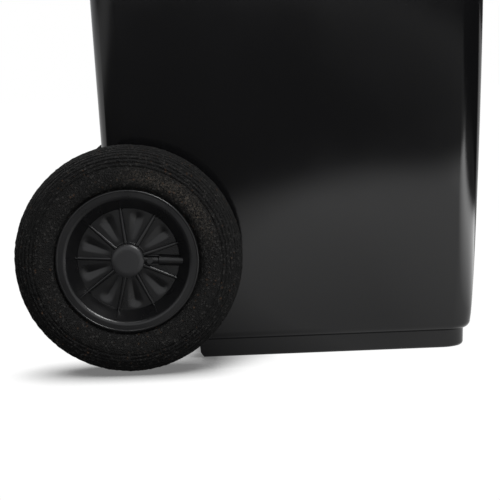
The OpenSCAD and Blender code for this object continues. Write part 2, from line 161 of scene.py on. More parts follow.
def tidy_mesh(piece):
    """Merges doubled corners and points every face outwards."""
    take(piece)
    switch("EDIT")
    bpy.ops.mesh.select_all(action="SELECT")
    bpy.ops.mesh.remove_doubles(threshold=MERGE_M)
    bpy.ops.mesh.normals_make_consistent(inside=False)
    switch("OBJECT")


def join(name, pieces):
    """Joins pieces into the first of them, under a new name."""
    clear_selection()
    for piece in pieces:
        piece.select_set(True)
    bpy.context.view_layer.objects.active = pieces[0]
    if len(pieces) > 1:
        bpy.ops.object.join()
    pieces[0].name = name
    return pieces[0]


def block(name, low, high, edge=0.0, segments=3, place=put):
    """A block between two corners, with its edges rounded."""
    low, high = place(*low), place(*high)
    clear_selection()
    bpy.ops.mesh.primitive_cube_add(size=1, location=(low + high) / 2)
    piece = bpy.context.object
    piece.name = name
    piece.scale = high - low
    apply_place(piece)
    if edge:
        switch("EDIT")
        bpy.ops.mesh.select_all(action="SELECT")
        bpy.ops.mesh.bevel(offset=edge * MM, segments=segments, affect="EDGES")
        switch("OBJECT")
    return piece


def rod_x(name, x0, x1, y, z, radius, sides=64, edge=0.0, place=put):
    """A round bar along x, with its end edges rounded."""
    clear_selection()
    bpy.ops.mesh.primitive_cylinder_add(
        vertices=sides, radius=radius * MM, depth=abs(x1 - x0) * MM,
        location=place((x0 + x1) / 2, y, z), rotation=(0, math.radians(90), 0))
    piece = bpy.context.object
    piece.name = name
    apply_place(piece)
    if edge:
        round_edges(piece, edge, 4, 50)
    return piece


def strap(name, x0, x1, stations, edge=1.5):
    """A flat arm between x0 and x1, drawn from station to station of (y, low z, high z)."""
    y, low, high = stations[0]
    sliver = 1.0
    piece = block(name, (x0, y, low), (x1, y + sliver, high))
    switch("EDIT")
    end = put(0, y + sliver, 0).y
    pick(piece, "FACE", lambda c: abs(c.y - end) < SAME_M)
    y += sliver
    for next_y, next_low, next_high in stations[1:]:
        rise = (next_low + next_high - low - high) / 2
        extrude((0, (next_y - y) * MM, rise * MM))
        bpy.ops.transform.resize(
            value=(1, 1, (next_high - next_low) / (high - low)),
            center_override=put((x0 + x1) / 2, next_y, (next_low + next_high) / 2))
        y, low, high = next_y, next_low, next_high
    switch("OBJECT")
    tidy_mesh(piece)
    if edge:
        round_edges(piece, edge, 3, 30)
    return piece


# ---------------- rounded outlines drawn ring by ring

class Ring:
    """One level of a moulding: half its width, its front, its rear and its height."""

    def __init__(self, half_w, front, rear, z):
        self.half_w, self.front, self.rear, self.z = half_w, front, rear, z

    def inset(self, amount, z=None):
        """The same level drawn in all round by an amount, at its own height or another."""
        return Ring(self.half_w - amount, self.front + amount, self.rear - amount,
                    self.z if z is None else z)

    def middle(self):
        return put(0, (self.front + self.rear) / 2, self.z)


CORNER_STEPS, SIDE_CUTS = 14, 27
SIDE_MIDDLE_M = 0.05  # a side's one long edge has its middle this near the outline's


def first_outline(name, ring, front_r, rear_r):
    """A flat rounded rectangle with its long sides divided, ready to be drawn into a shell."""
    clear_selection()
    bpy.ops.mesh.primitive_plane_add(size=1, location=ring.middle())
    piece = bpy.context.object
    piece.name = name
    piece.scale = (2 * ring.half_w * MM, (ring.rear - ring.front) * MM, 1)
    apply_place(piece)
    switch("EDIT")
    middle = ring.middle().y
    for radius, end, side in ((front_r, ring.front, -1), (rear_r, ring.rear, 1)):
        edge = put(0, end, 0).y
        pick(piece, "VERT", lambda c: abs(c.y - edge) < SAME_M and (c.y - middle) * side > 0
             and abs(abs(c.x) - ring.half_w * MM) < SAME_M)
        bpy.ops.mesh.bevel(offset=radius * MM, offset_type="OFFSET", segments=CORNER_STEPS,
                           profile=0.5, affect="VERTICES")
    pick(piece, "EDGE", lambda c: abs(abs(c.x) - ring.half_w * MM) < SAME_M
         and abs(c.y - middle) < SIDE_MIDDLE_M)
    bpy.ops.mesh.subdivide(number_cuts=SIDE_CUTS)
    pick(piece, "EDGE", lambda c: abs(c.x) < SAME_M)
    bpy.ops.mesh.subdivide(number_cuts=SIDE_CUTS)
    bpy.ops.mesh.select_mode(type="FACE")
    bpy.ops.mesh.select_all(action="SELECT")
    return piece


def draw_rings(rings):
    """Draws the selected outline through each ring in turn, by extruding and scaling it."""
    now = rings[0]
    for ring in rings[1:]:
        extrude(ring.middle() - now.middle())
        bpy.ops.transform.resize(
            value=(ring.half_w / now.half_w, (ring.rear - ring.front) / (now.rear - now.front), 1),
            center_override=ring.middle())
        now = ring


def raise_corners(piece, test, amount):
    """Lifts the corners that pass the test, straight up."""
    pick(piece, "VERT", test)
    bpy.ops.transform.translate(value=(0, 0, amount * MM))


def arc(centre_in, centre_z, radius, start, end, steps):
    """(inset, height) pairs along a round corner, with angles in degrees from the outward side."""
    turns = [math.radians(start + (end - start) * k / steps) for k in range(steps + 1)]
    return [(centre_in - radius * math.cos(t), centre_z + radius * math.sin(t)) for t in turns]


# ---------------- tub

WALL = 4.0
PLINTH_H, PLINTH_IN = 14.0, 5.5
FLARE_TOP = 24.0
RIM_Z = HINGE_Z - 12
BOW_TOP = RIM_Z * 0.65
BOW = 5.5
TUB_FLOOR = Ring(176, -307, 20, FLARE_TOP)
TUB_TOP = Ring(215, -337, 40, RIM_Z)
FRONT_R, REAR_R = 26.0, 30.0
SHOULDER = 8.0
RIM_OUT, LIP_OUT = 18.0, 30.0
SKIRT_T = 3.5
ROOT_R = 1.5
SIDE_SKIRT, LIP_SKIRT, REAR_SKIRT = 24.0, 38.0, 8.0
RECESS_FRONT, RECESS_REAR = -58.0, 90.0
RECESS_CUT_X, LINING_CUT_X = 240.0, 230.0
LINING_H = 200.0
WELD = 0.3  # how far the lining sits inside the skin that it joins
WALL_HEIGHTS = [30, 38, 48, 62, 80, 102, 130, 165, 205, 250, 300, 355, 415, 480, BOW_TOP, 640, 730]


def tub_ring(z, inset=0.0):
    """The tub's outline at a height: straight tapering walls, with a front that bows out low down."""
    up = (z - FLARE_TOP) / (RIM_Z - FLARE_TOP)
    bow = 0.0
    if FLARE_TOP < z < BOW_TOP:
        bow = BOW * math.sin(math.pi * (z - FLARE_TOP) / (BOW_TOP - FLARE_TOP)) ** 0.6

    def between(a, b):
        return a + (b - a) * up
    ring = Ring(between(TUB_FLOOR.half_w, TUB_TOP.half_w), between(TUB_FLOOR.front, TUB_TOP.front) - bow,
                between(TUB_FLOOR.rear, TUB_TOP.rear), z)
    return ring.inset(inset)


def rim_ring(inset, z):
    """The rim's outline at a height, drawn in from its outer face."""
    outer = Ring(TUB_TOP.half_w + RIM_OUT, TUB_TOP.front - LIP_OUT, TUB_TOP.rear + RIM_OUT, z)
    return outer.inset(inset)


def outside_rings(top):
    """The plinth with its rounded shoulder, then the walls up to a height."""
    plinth = [(8.5, 0), (7, 0.5), (6, 1.6), (PLINTH_IN, 3.2), (PLINTH_IN, PLINTH_H - 1)]
    shoulder = arc(SHOULDER, FLARE_TOP, SHOULDER, -72, 0, 8)
    rings = [tub_ring(z, inset) for inset, z in plinth + shoulder]
    return rings + [tub_ring(z) for z in WALL_HEIGHTS if z < top] + [tub_ring(top)]


def recess(name, grow, wide):
    """The space under the rear of the tub for the axle, as a solid that runs past both side walls."""
    front = RECESS_FRONT - grow
    below = -5
    stations = [(front - 4, below - grow, 0.2), (front, below, 5 + grow), (front + 8, below, 116 + grow),
                (front + 14, below, 124 + grow), (front + 22, below, 129 + grow),
                (RECESS_REAR, below, 161 + grow)]
    return strap(name, -wide, wide, stations, edge=0)


def make_tub():
    """The tub in one skin: outside, rim and skirt, then the inside. A lining closes the axle recess."""
    rings = outside_rings(RIM_Z - 8)
    under = RIM_Z - WALL
    skirt_low = RIM_Z - SIDE_SKIRT
    rings += [tub_ring(RIM_Z - 5.2), tub_ring(under, -ROOT_R)]
    rings += [rim_ring(SKIRT_T + ROOT_R, under), rim_ring(SKIRT_T, under - ROOT_R)]
    rings += [rim_ring(SKIRT_T, skirt_low + 1), rim_ring(SKIRT_T - 0.8, skirt_low),
              rim_ring(0.8, skirt_low), rim_ring(0, skirt_low + 1)]
    rings += [rim_ring(inset, z) for inset, z in arc(2.5, RIM_Z - 2.5, 2.5, 0, 90, 5)]
    mouth = TUB_TOP.inset(WALL)
    rings += [mouth.inset(-2.2, RIM_Z), mouth.inset(-0.8, RIM_Z - 0.5), mouth.inset(0, RIM_Z - 2.2)]
    rings += [tub_ring(z, WALL) for z in reversed([FLARE_TOP] + WALL_HEIGHTS)]
    floor_in = PLINTH_IN + WALL
    rings += [tub_ring(PLINTH_H, floor_in), tub_ring(WALL + 5, floor_in),
              tub_ring(WALL + 1.5, floor_in + 1.5), tub_ring(WALL, floor_in + 5)]
    tub = first_outline("tub", rings[0], FRONT_R - SHOULDER, REAR_R - SHOULDER)
    draw_rings(rings)

    def on_skirt(c):
        return skirt_low - 0.5 < c.z / MM < skirt_low + 1.5 and (
            abs(c.x) > (TUB_TOP.half_w + 3) * MM or c.y < put(0, TUB_TOP.front - 8, 0).y
            or c.y > put(0, TUB_TOP.rear + 3, 0).y)
    front_end = put(0, TUB_TOP.front + FRONT_R, 0).y
    rear_start = put(0, TUB_TOP.rear - REAR_R, 0).y
    raise_corners(tub, lambda c: on_skirt(c) and c.y < front_end, SIDE_SKIRT - LIP_SKIRT)
    raise_corners(tub, lambda c: on_skirt(c) and c.y > rear_start, SIDE_SKIRT - REAR_SKIRT)
    tidy_mesh(tub)

    rings = [tub_ring(ring.z, WELD) if ring.z > FLARE_TOP else ring.inset(WELD)
             for ring in outside_rings(LINING_H)]
    lining = first_outline("lining", rings[0], FRONT_R - SHOULDER, REAR_R - SHOULDER)
    draw_rings(rings)
    tidy_mesh(lining)
    cut_with(lining, recess("recess_outside", WALL, LINING_CUT_X), "INTERSECT")
    cut_with(lining, recess("recess_inside", 0, RECESS_CUT_X))
    cut_with(tub, recess("recess_space", 0, RECESS_CUT_X))
    cut_with(tub, lining, "UNION")
    return tub


RIB_T, POCKETS = 3, 4
SIDE_RIB_Y = (-255, -165, -75, 15)
NEST_R, NEST_WALL, NEST_DEEP = 13.75, 2.1, 12.0


def make_comb_ribs():
    """The ribs under the rim: they divide the comb pockets and brace the side skirts."""
    ribs = []
    start, end = 16.75, TUB_TOP.half_w - FRONT_R + 2
    for side in (LEFT, RIGHT):
        for k in range(POCKETS + 1):
            x = side * (start + (end - start) * k / POCKETS)
            low = (x - RIB_T / 2, TUB_TOP.front - LIP_OUT + SKIRT_T / 2, RIM_Z - LIP_SKIRT + 3)
            high = (x + RIB_T / 2, TUB_TOP.front + 3, RIM_Z - 2)
            ribs.append(block("rib", low, high, 0.6, 2))
        for y in SIDE_RIB_Y:
            inner = TUB_TOP.half_w - 3
            outer = TUB_TOP.half_w + RIM_OUT - SKIRT_T / 2
            x0, x1 = sorted((side * inner, side * outer))
            ribs.append(block("rib", (x0, y - RIB_T / 2, RIM_Z - SIDE_SKIRT + 2),
                              (x1, y + RIB_T / 2, RIM_Z - 2), 0.6, 2))
    return join("comb_ribs", ribs)


def make_nest():
    """The round socket under the front lip that the transponder plug closes."""
    low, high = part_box("transponder_plug")
    middle = (low + high) / 2
    clear_selection()
    top = (RIM_Z - 2) * MM
    bottom = (RIM_Z - WALL - 14) * MM
    bpy.ops.mesh.primitive_cylinder_add(vertices=64, radius=NEST_R * MM, depth=top - bottom,
                                        location=(middle.x, middle.y, (top + bottom) / 2))
    nest = bpy.context.object
    nest.name = "transponder_nest"
    apply_place(nest)
    switch("EDIT")
    pick(nest, "FACE", lambda c: abs(c.z - bottom) < SAME_M)
    bpy.ops.mesh.inset(thickness=NEST_WALL * MM)
    extrude((0, 0, NEST_DEEP * MM))
    switch("OBJECT")
    round_edges(nest, 0.5, 2, 50)
    return nest


BAR_R = 13.5
ARM_REACH = 203
INNER_ARM, ARM_T = 72, 12
PIN_BORE_R, PIN_BORE_DEEP = 6.1, 44
BRACKET_T = 7
BOSS_R, AXLE_BORE_R = 19, 10.2
PAST = 5  # how far a boring tool runs out of each face


def make_handle():
    """The handle bar with the hinge bores in its ends, and the four arms that carry it."""
    bar = rod_x("handle_bar", -ARM_REACH, ARM_REACH, HINGE_BACK, HINGE_Z, BAR_R, 96)
    switch("EDIT")
    for side in (LEFT, RIGHT):
        end = side * ARM_REACH * MM
        pick(bar, "FACE", lambda c: abs(c.x - end) < SAME_M)
        bpy.ops.mesh.inset(thickness=(BAR_R - PIN_BORE_R) * MM)
        extrude((-side * PIN_BORE_DEEP * MM, 0, 0))
    switch("OBJECT")
    round_edges(bar, 1.6, 4, 60)
    arms = []
    for side in (LEFT, RIGHT):
        for reach in (ARM_REACH, INNER_ARM):
            x0, x1 = sorted((side * reach, side * (reach - ARM_T)))
            stations = [(TUB_TOP.rear - 4, RIM_Z - 38, RIM_Z - 2),
                        (TUB_TOP.rear + 12, RIM_Z - 31, RIM_Z - 2),
                        (HINGE_BACK - 36, RIM_Z - 19, RIM_Z + 1),
                        (HINGE_BACK - 8, RIM_Z - 6, HINGE_Z + 1)]
            arms.append(strap("handle_arm", x0, x1, stations, 2))
    return bar, join("handle_arms", arms)


def make_axle_brackets():
    """Four webs behind the recess, each with a round boss for the axle."""
    outer = tub_ring(AXLE_Z).half_w - 7
    brackets = []
    for x in (-outer - BRACKET_T, outer, -70, 63):
        stations = [(-54, AXLE_Z - 50, AXLE_Z + 14), (-40, AXLE_Z - 42, AXLE_Z + 26),
                    (-14, AXLE_Z - 26, AXLE_Z + 34), (8, AXLE_Z - 10, AXLE_Z + 42),
                    (15, AXLE_Z + 2, AXLE_Z + 45)]
        far = x + BRACKET_T
        web = strap("axle_web", x, far, stations, 0)
        cut_with(web, rod_x("boss", x - 0.01, far + 0.01, 0, AXLE_Z, BOSS_R, 64), "UNION")
        cut_with(web, rod_x("bore", x - PAST, far + PAST, 0, AXLE_Z, AXLE_BORE_R, 64))
        round_edges(web, 0.9, 2, 40)
        brackets.append(web)
    return join("axle_brackets", brackets)


# ---------------- lid

LID_WALL = 3.5
LID_GAP = 3.5
SEAT_GAP = 0.3
LID_EDGE = Ring(TUB_TOP.half_w + RIM_OUT + LID_GAP + LID_WALL,
                TUB_TOP.front - LIP_OUT - LID_GAP - LID_WALL, TUB_TOP.rear + RIM_OUT + 8, RIM_Z - 12)
LID_BRIM_Z = RIM_Z + SEAT_GAP + LID_WALL + 3
LID_TOP_Z = cad_box[1][2] / MM
DOME_STEPS = 18
DOME_EDGES = 30, 22
GRIP_W, GRIP_REACH, GRIP_T = 210, 12, 3.5
KNUCKLE_BORE_R = 6.3


def dome_ring(share, thickness=0.0):
    """The dome from its foot at 0 to the edge of its flat top at 1."""
    rise = LID_TOP_Z - LID_BRIM_Z - 1
    height = LID_BRIM_Z + 1 + rise * math.sin(math.pi / 2 * math.sqrt(share)) - thickness
    return Ring(LID_EDGE.half_w - 16 - 134 * share - thickness,
                LID_EDGE.front + 16 + 180 * share + thickness,
                LID_EDGE.rear - 13 - 197 * share - thickness, height)


def make_lid():
    """The lid in one skin: inside of the dome, seat, turned-down edge, brim, then the dome itself."""
    shares = [(k / DOME_STEPS) ** 2 for k in range(DOME_STEPS + 1)]
    seat = RIM_Z + SEAT_GAP
    low = LID_EDGE.z
    rings = [dome_ring(share, LID_WALL) for share in reversed(shares) if share > 0.01]
    rings += [LID_EDGE.inset(20, seat + 4), LID_EDGE.inset(18.5, seat + 0.8), LID_EDGE.inset(16.5, seat),
              LID_EDGE.inset(LID_WALL + 1.2, seat), LID_EDGE.inset(LID_WALL, seat - 1.2)]
    rings += [LID_EDGE.inset(LID_WALL, low + 0.9), LID_EDGE.inset(LID_WALL - 0.9, low),
              LID_EDGE.inset(0.9, low), LID_EDGE.inset(0, low + 0.9)]
    rings += [LID_EDGE.inset(inset, z) for inset, z in arc(3, LID_BRIM_Z - 3, 3, 0, 90, 6)]
    rings += [LID_EDGE.inset(11, LID_BRIM_Z), LID_EDGE.inset(13, LID_BRIM_Z + 0.3)]
    rings += [dome_ring(share) for share in shares]
    lid = first_outline("lid_shell", rings[0], *DOME_EDGES)
    draw_rings(rings)
    rear_start = put(0, TUB_TOP.rear + RIM_OUT - 24, 0).y
    raise_corners(lid, lambda c: c.z / MM < low + 1.5 and c.y > rear_start, 9)
    tidy_mesh(lid)
    return lid


def make_grip():
    """The lip along the lid's front edge that fingers lift."""
    front = LID_EDGE.front
    half, tip = GRIP_W / 2, front - GRIP_REACH
    plate = block("grip", (-half, tip, LID_BRIM_Z - 6 - GRIP_T), (half, front + 1.5, LID_BRIM_Z - 6), 1.2)
    curl = block("curl", (-half, tip, LID_BRIM_Z - 14 - GRIP_T), (half, tip + GRIP_T, LID_BRIM_Z - 6.4), 1.2)
    return join("lid_grip", [plate, curl])


def make_lid_arms():
    """The two arms at the lid's rear corners, each with the knuckle that turns on its hinge pin."""
    arms = []
    for side in (LEFT, RIGHT):
        x0, x1 = sorted((side * (ARM_REACH + 2), side * (ARM_REACH + 22)))
        stations = [(LID_EDGE.rear - 26, RIM_Z + 0.5, LID_BRIM_Z + 5),
                    (TUB_TOP.rear + RIM_OUT + 5, RIM_Z + 0.5, LID_BRIM_Z + 6),
                    (HINGE_BACK - 22, RIM_Z + 0.2, HINGE_Z + 7),
                    (HINGE_BACK - 6, RIM_Z + 0.2, HINGE_Z + 11)]
        arm = strap("lid_arm", x0, x1, stations, 0)
        knuckle = rod_x("knuckle", x0 + 0.02, x1 - 0.02, HINGE_BACK, HINGE_Z, BAR_R, 96)
        cut_with(arm, knuckle, "UNION")
        cut_with(arm, rod_x("bore", x0 - PAST, x1 + PAST, HINGE_BACK, HINGE_Z, KNUCKLE_BORE_R, 64))
        round_edges(arm, 1.4, 3, 40)
        arms.append(arm)
    return join("lid_arms", arms)


# ---------------- wheels, drawn about z and then placed

LIP_R, DISH_R, WEB_R = 62.0, 54.4, 45.2
HUB_R, BORE_R = 14.2, 10.3
LIP_Z = 22.5
WEB_Z = LIP_Z - 16.5
WEB_T = 4.0
HUB_OUT = LIP_Z - 5.5
HUB_IN = -29.0
SEAT_R = 59.0
SPOKES = 9
SPIN_STEPS = 216
WHEEL_X = 215.0
WHEEL_TURN = {LEFT: -3.5, RIGHT: 127.0}
LOCK_Z = WEB_Z + 1
LOCK_BORE_R, LOCK_HOUSE_R = 3.12, 4.2
LOCK_START, LOCK_END = 26, 49
SLOT_HALF = 4.8
SPOKE_HALF, SPOKE_H = 1.8, 4.2
FIN_HALF, FIN_H = 0.6, 2.6
FIN_RISE = (6.2, 0, 11.6)


def fillet(outline, steps=5):
    """Rounds the corners of a closed outline of (radius, height, corner radius) points."""
    points = []
    count = len(outline)
    for k, (r, z, corner) in enumerate(outline):
        here = Vector((r, z))
        if not corner:
            points.append(here)
            continue
        back = (Vector(outline[k - 1][:2]) - here).normalized()
        ahead = (Vector(outline[(k + 1) % count][:2]) - here).normalized()
        half = back.angle(ahead) / 2
        reach = corner / math.tan(half)
        centre = here + (back + ahead).normalized() * corner / math.sin(half)
        a, b = here + back * reach - centre, here + ahead * reach - centre
        sweep = a.angle_signed(b)
        for j in range(steps + 1):
            points.append(centre + Matrix.Rotation(-sweep * j / steps, 2) @ a)
    return points


def lathe(name, points, steps):
    """Draws a line through (radius, height) points and spins it about z."""
    clear_selection()
    bpy.ops.mesh.primitive_plane_add(size=1)
    piece = bpy.context.object
    piece.name = name
    switch("EDIT")
    bpy.ops.mesh.select_mode(type="VERT")
    bpy.ops.mesh.select_all(action="SELECT")
    bpy.ops.mesh.merge(type="CENTER")
    now = Vector((0, 0))
    for k, point in enumerate(points):
        step = Vector(point) - now
        value = (step.x * MM, 0, step.y * MM)
        if k == 0:
            bpy.ops.transform.translate(value=value)
        else:
            extrude(value)
        now = Vector(point)
    bpy.ops.mesh.select_all(action="SELECT")
    bpy.ops.mesh.spin(steps=steps, angle=math.tau, center=(0, 0, 0), axis=(0, 0, 1))
    switch("OBJECT")
    tidy_mesh(piece)
    return piece


def closed(points):
    """The points with the first one again at the end."""
    return points + points[:1]


def spoke(angle):
    """A rounded rib from the hub to the web's edge, and the thin fin that climbs the dished wall."""
    base = WEB_Z - 1.5
    rib = block("spoke", (HUB_R - 1, -SPOKE_HALF, base), (WEB_R - 0.3, SPOKE_HALF, WEB_Z + SPOKE_H),
                place=about_wheel)
    switch("EDIT")
    pick(rib, "FACE", lambda c: c.x > (WEB_R - 1) * MM)
    bpy.ops.transform.resize(value=(1, 0.8, 0.7), center_override=about_wheel(WEB_R, 0, base))
    switch("OBJECT")
    round_edges(rib, 1.45, 5, 30)
    fin = block("fin", (WEB_R - 3, -FIN_HALF, WEB_Z - 1), (WEB_R + 0.5, FIN_HALF, WEB_Z + FIN_H),
                place=about_wheel)
    switch("EDIT")
    pick(fin, "FACE", lambda c: c.x > (WEB_R + 0.4) * MM)
    extrude(about_wheel(*FIN_RISE))
    switch("OBJECT")
    round_edges(fin, 0.4, 2, 30)
    both = join("spoke", [rib, fin])
    both.rotation_euler = (0, 0, math.radians(angle))
    apply_place(both)
    return both


WEB_RADII = [17.5, 19.5, 22, 25, 28, 31, 34, 36.5, 38.5, 40, 41.2, 42.4, 43.5]
VALLEY_END, VALLEY_DEEPEST, VALLEY_START = WEB_RADII[-1], 36.5, WEB_RADII[0]
VALLEY_STEPS, VALLEY_DEPTH = 6, 2.0


def valley_depth(radius, step):
    """How deep a web panel is pressed in, at a radius and so many steps from the panel's middle."""
    if radius <= VALLEY_DEEPEST:
        along = (radius - VALLEY_START) / (VALLEY_DEEPEST - VALLEY_START)
    else:
        left = (VALLEY_END - radius) / (VALLEY_END - VALLEY_DEEPEST)
        along = left * left * (3 - 2 * left)
    return VALLEY_DEPTH * along * (1 - step / VALLEY_STEPS) ** 1.2


def press_valleys(centre):
    """Presses a shallow V into the web between the spokes, apart from the panel with the lock."""
    take(centre)
    switch("EDIT")
    pitch = math.tau / SPOKES
    turn_step = math.tau / SPIN_STEPS
    for radius in WEB_RADII[1:-1]:
        for step in range(VALLEY_STEPS):

            def there(c):
                if abs(c.z - WEB_Z * MM) > SAME_M or abs(math.hypot(c.x, c.y) - radius * MM) > SAME_M:
                    return False
                turn = math.atan2(c.y, c.x)
                panel = round(turn / pitch)
                return panel != 0 and abs(abs(turn - panel * pitch) - step * turn_step) < turn_step / 4

            pick(centre, "VERT", there)
            bpy.ops.transform.translate(value=(0, 0, -valley_depth(radius, step) * MM))
    switch("OBJECT")


def lock_bore():
    """The hole along local x that the lock pin slides in, as a solid."""
    return rod_x("lock_bore", 8, 60, 0, LOCK_Z, LOCK_BORE_R, 48, place=about_wheel)


def lock_housing():
    """The half-round housing of the lock pin, lying along local x, and two low rails before it."""
    finger = rod_x("lock_housing", LOCK_START, LOCK_END, 0, LOCK_Z, LOCK_HOUSE_R, 48, 1.0, about_wheel)
    cut_with(finger, lock_bore())
    rails = []
    for side in (LEFT, RIGHT):
        inner, outer = sorted((side * 3.3, side * 4.5))
        rails.append(block("rail", (HUB_R + 1.3, inner, WEB_Z - 2), (LOCK_START + 0.5, outer, WEB_Z + 2.2),
                           0.4, 2, about_wheel))
    return [finger] + rails


def make_wheel_centre():
    """The dished wheel: hub, web, lip and tyre seat spun in one, then valleys, slot, spokes and lock."""
    web = [(r, WEB_Z, 0) for r in reversed(WEB_RADII)]
    outline = fillet([
        (BORE_R, HUB_IN, 0), (HUB_R, HUB_IN, 0.8), (HUB_R, WEB_Z - WEB_T, 1.5),
        (WEB_R + 1.9, WEB_Z - WEB_T, 2), (DISH_R - 0.6, LIP_Z - 8, 0), (SEAT_R - 3.5, LIP_Z - 8, 0.8),
        (SEAT_R - 3.5, -LIP_Z, 0.8), (LIP_R, -LIP_Z, 1), (LIP_R, -LIP_Z + 3, 0.6),
        (SEAT_R, -LIP_Z + 3, 0.4), (SEAT_R, LIP_Z - 3, 0.4), (LIP_R, LIP_Z - 3, 0.6),
        (LIP_R, LIP_Z, 1.1), (LIP_R - 1.5, LIP_Z, 0.3),
        (LIP_R - 1.9, LIP_Z - 0.5, 0.2), (DISH_R - 0.4, LIP_Z - 0.5, 4.0), (WEB_R, WEB_Z + 1, 1.0)]
        + [(WEB_R - 0.9, WEB_Z, 0)] + web
        + [(HUB_R, WEB_Z, 0.9), (HUB_R, HUB_OUT, 0.5), (BORE_R, HUB_OUT, 0)], 6)
    centre = lathe("wheel_centre", closed(outline), SPIN_STEPS)
    press_valleys(centre)
    cut_with(centre, block("slot", (HUB_R + 1.2, -SLOT_HALF, WEB_Z - WEB_T - 2),
                           (WEB_R - 1, SLOT_HALF, WEB_Z + 4), place=about_wheel))
    cut_with(centre, lock_bore())
    pitch = 360 / SPOKES
    parts = [centre] + [spoke((k + 0.5) * pitch) for k in range(SPOKES)]
    return join("wheel_centre", parts + lock_housing())


TYRE_R, TYRE_HALF = 99.9, 24.9
SHOULDER_R = LIP_R + 14
GROOVE_PITCH, GROOVE_DEPTH = 3.4, 0.75
GROOVE_SHAPE = ((-1.15, 0.08), (-0.6, 0.45), (-0.28, 1.0), (0.28, 1.0), (0.6, 0.45), (1.15, 0.08))
TREAD_STEPS = 720
SKIN_LUMPS = (("crumb", 3.2, 1.1), ("lumps", 9, 0.3))


def tyre_point(t):
    """A point on the smooth tread, from the crown at 0 to the widest part of the side at 90 degrees."""
    side = math.sin(math.radians(t))
    crown = max(math.cos(math.radians(t)), 0)
    return Vector((SHOULDER_R + (TYRE_R - SHOULDER_R) * crown ** 0.7,
                   TYRE_HALF * math.copysign(abs(side) ** 0.85, side)))


def tread_line():
    """The tread from side to side with its fine ribs, spaced by distance along the curve."""
    fine = [tyre_point(-90 + 180 * k / TREAD_STEPS) for k in range(TREAD_STEPS + 1)]
    along = [0.0]
    for a, b in zip(fine, fine[1:]):
        along.append(along[-1] + (b - a).length)
    total = along[-1]
    count = 2 * int((total / 2 - 3) / GROOVE_PITCH) + 1

    def at(distance):
        """The point so far along the curve, and the way out of the rubber there."""
        k = next(i for i, value in enumerate(along) if value >= distance)
        k = min(max(k, 1), len(fine) - 1)
        share = (distance - along[k - 1]) / (along[k] - along[k - 1])
        run = (fine[k] - fine[k - 1]).normalized()
        return fine[k - 1].lerp(fine[k], share), Vector((run.y, -run.x))

    line = [at(0.001)[0], at(1.5)[0]]
    first = total / 2 - (count - 1) / 2 * GROOVE_PITCH
    for k in range(count):
        middle = first + k * GROOVE_PITCH
        for offset, depth in GROOVE_SHAPE:
            point, out = at(middle + offset)
            line.append(point - out * depth * GROOVE_DEPTH)
    return line + [at(total - 1.5)[0], fine[-1]]


def make_tyre():
    """A solid tyre moulded from rubber crumb: fine ribs all round and a slightly ragged skin."""
    bead = LIP_R + 1.0
    seat = SEAT_R + 0.3
    deep = LIP_Z - 3.3
    side = [(seat, deep), (bead, deep), (bead + 0.4, deep + 1.4), (bead + 2.2, TYRE_HALF - 2.2),
            (bead + 5.5, TYRE_HALF - 0.9), (bead + 9.5, TYRE_HALF - 0.25)]
    line = [Vector((r, -z)) for r, z in side] + tread_line() + [Vector(p) for p in reversed(side)]
    tyre = lathe("tyre", closed(line), 360)
    for name, grain, strength in SKIN_LUMPS:
        texture = bpy.data.textures.new(name, "CLOUDS")
        texture.noise_scale = grain * MM
        texture.noise_depth = 1
        modify(tyre, "DISPLACE", texture=texture, texture_coords="LOCAL", strength=strength * MM,
               mid_level=0.7)
        bpy.data.textures.remove(texture)
    return tyre


def make_hub_cap():
    """A low cap whose edge rounds over in a wide soft curve."""
    base = HUB_OUT + 0.3
    top = HUB_OUT + 4
    wide, drop = 5.2, 2.7
    outer = HUB_R + 0.3
    steps = 12
    points = [(0, base - 2), (BORE_R - 0.3, base - 2), (BORE_R - 0.3, base), (outer - 0.3, base),
              (outer, base + 0.3)]
    for k in range(steps + 1):
        turn = math.pi / 2 * k / steps
        points.append((outer - wide + wide * math.cos(turn), top - drop + drop * math.sin(turn)))
    return lathe("hub_cap", points + [(0, top)], 128)


def place_wheel_part(piece, side, name):
    """Puts a part drawn about z on its side of the axle, turned as that wheel stands."""
    place = (Matrix.Translation((side * WHEEL_X * MM, AXLE_M.y, AXLE_M.z))
             @ Matrix.Rotation(side * math.pi / 2, 4, "Z") @ Matrix.Rotation(math.pi / 2, 4, "X")
             @ Matrix.Rotation(math.radians(WHEEL_TURN[side]), 4, "Z"))
    copy = piece.copy()
    copy.data = piece.data.copy()
    copy.name = name
    bpy.context.scene.collection.objects.link(copy)
    copy.matrix_world = place
    apply_place(copy)
    return copy


# ---------------- materials

def linear(hex_colour):
    """An sRGB hex colour as linear red, green, blue and alpha."""
    values = [int(hex_colour[i:i + 2], 16) / 255 for i in (1, 3, 5)]
    return [v / 12.92 if v <= 0.04045 else ((v + 0.055) / 1.055) ** 2.4 for v in values] + [1.0]


def add(tree, kind, inputs=None, **settings):
    """Adds a shader node. An input takes a value, a socket, or a node, whose first live output is linked."""
    node = tree.nodes.new("ShaderNode" + kind)
    for name, value in settings.items():
        setattr(node, name, value)
    for name, value in (inputs or {}).items():
        if isinstance(value, bpy.types.Node):
            value = next(socket for socket in value.outputs if socket.enabled)
        if isinstance(value, bpy.types.NodeSocket):
            tree.links.new(value, node.inputs[name])
        else:
            node.inputs[name].default_value = value
    return node


def new_tree(name):
    """A new material with an empty node tree, and the scene's coordinates in metres."""
    material = bpy.data.materials.new(name)
    material.use_nodes = True
    tree = material.node_tree
    tree.nodes.clear()
    return material, tree, add(tree, "TexCoord").outputs["Object"]


MIX_SHARE, MIX_FIRST, MIX_SECOND = 0, 6, 7
# The tyre's upper front, facing the key light: grit specks there are drawn lighter, partly dust and partly a
# painted highlight.
GRIT_SHEEN_WAY = Vector((0, -0.62, 0.78)).normalized()


